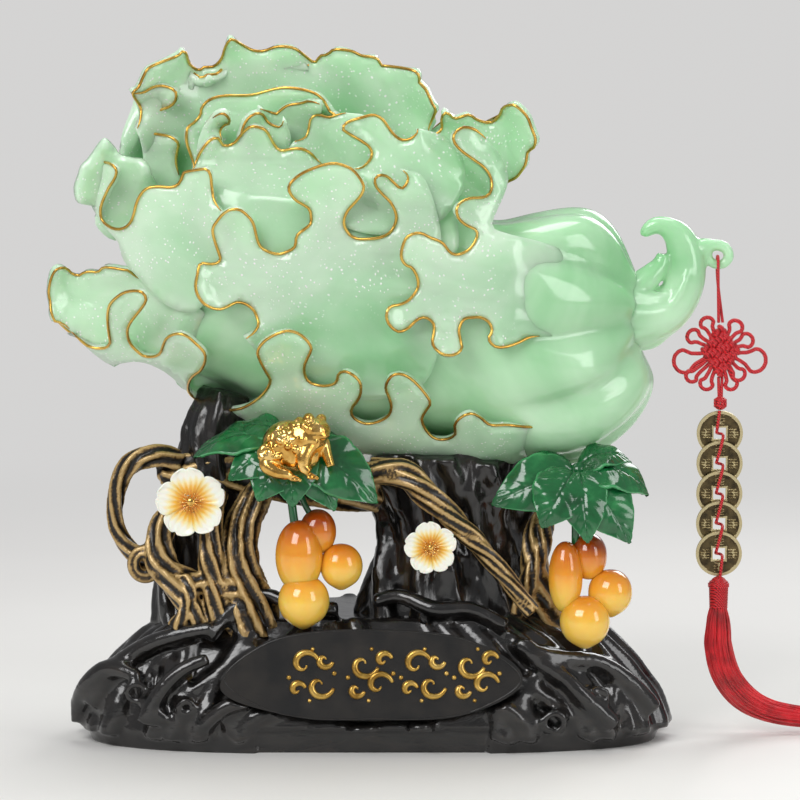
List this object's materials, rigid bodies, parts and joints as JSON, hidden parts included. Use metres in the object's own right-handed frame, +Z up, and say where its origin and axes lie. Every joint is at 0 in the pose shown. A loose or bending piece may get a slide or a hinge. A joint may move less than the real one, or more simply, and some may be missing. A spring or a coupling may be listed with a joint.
{
  "type": "carved cabbage ornament",
  "caption": "Jade-green cabbage carving with layered ruffled leaves lying on a black carved-root stand, with blossoms, gourds, a toad, and a hanging pendant of knot, coins and tassel",
  "frame": {"origin": "centre of the stand's flat underside, where it rests on the table", "axes": "+X to the right along the carving's length towards the root end of the cabbage, +Y away from the viewer, +Z up"},
  "size_m": [0.4016, 0.1426, 0.3628],
  "materials": {
    "black_root": "gloss",
    "gilt_root": "satin",
    "jade_stalk": "polished",
    "jade_leaf": "polished",
    "green_leaf": "gloss",
    "amber": "gloss",
    "petal": "gloss",
    "gold": "polished",
    "peg_wood": "plain",
    "coin_brass": "antique",
    "tassel_silk": "silky",
    "red_cord": "silky"
  },
  "bodies": {
    "carving": {"blossom_left": "petal", "blossom_right": "petal", "bough": "black_root", "branch_front": "gilt_root", "branch_loop_left": "gilt_root", "branch_right": "gilt_root", "cabbage_stalk": "jade_stalk", "gourd_left_1": "amber", "gourd_left_2": "amber", "gourd_left_3": "amber", "gourd_left_4": "amber", "gourd_right_1": "amber", "gourd_right_2": "amber", "gourd_right_3": "amber", "gourd_right_4": "amber", "heart_curl_1": "jade_leaf", "heart_curl_2": "jade_leaf", "heart_curl_3": "jade_leaf", "leaf_crown_back": "jade_leaf", "leaf_crown_right": "jade_leaf", "leaf_curl_left": "jade_leaf", "leaf_inner": "jade_leaf", "leaf_lower_back": "jade_leaf", "leaf_lower_front": "jade_leaf", "leaf_middle_back": "jade_leaf", "leaf_middle_front": "jade_leaf", "leaf_middle_left": "jade_leaf", "leaf_right_front": "jade_leaf", "leaf_spray_left": "green_leaf", "leaf_spray_right": "green_leaf", "leaf_upper_front": "jade_leaf", "peg_1": "peg_wood", "peg_2": "peg_wood", "plaque": "black_root", "root_base": "black_root", "root_tip": "jade_stalk", "stamen_left": "gold", "stamen_right": "gold", "stump_left": "gilt_root", "toad": "gold", "trunk_centre": "black_root", "trunk_left": "black_root"},
    "loop": {"hanging_loop": "red_cord"},
    "coin_string": {"chinese_knot": "red_cord", "knot_cord": "red_cord", "button_knot": "red_cord", "coin_1": "coin_brass", "coin_2": "coin_brass", "coin_3": "coin_brass", "coin_4": "coin_brass", "coin_5": "coin_brass", "coin_cord": "red_cord"},
    "tassel": {"tassel_head": "tassel_silk", "tassel_skirt": "tassel_silk"}
  },
  "joints": [
    {"name": "pendant_swing", "type": "hinge", "parent": "carving", "child": "loop", "pos_m": [0.1786, 0, 0.2524], "axis": [0, 1, 0], "range_deg": [-35, 1.5]},
    {"name": "pendant_sway", "type": "hinge", "parent": "loop", "child": "coin_string", "pos_m": [0.1804, 0, 0.2163], "axis": [1, 0, 0], "range_deg": [-20, 20]},
    {"name": "tassel_bend", "type": "hinge", "parent": "coin_string", "child": "tassel", "pos_m": [0.1804, -0.001, 0.083], "axis": [0, 1, 0], "range_deg": [-25, 12]}
  ]
}
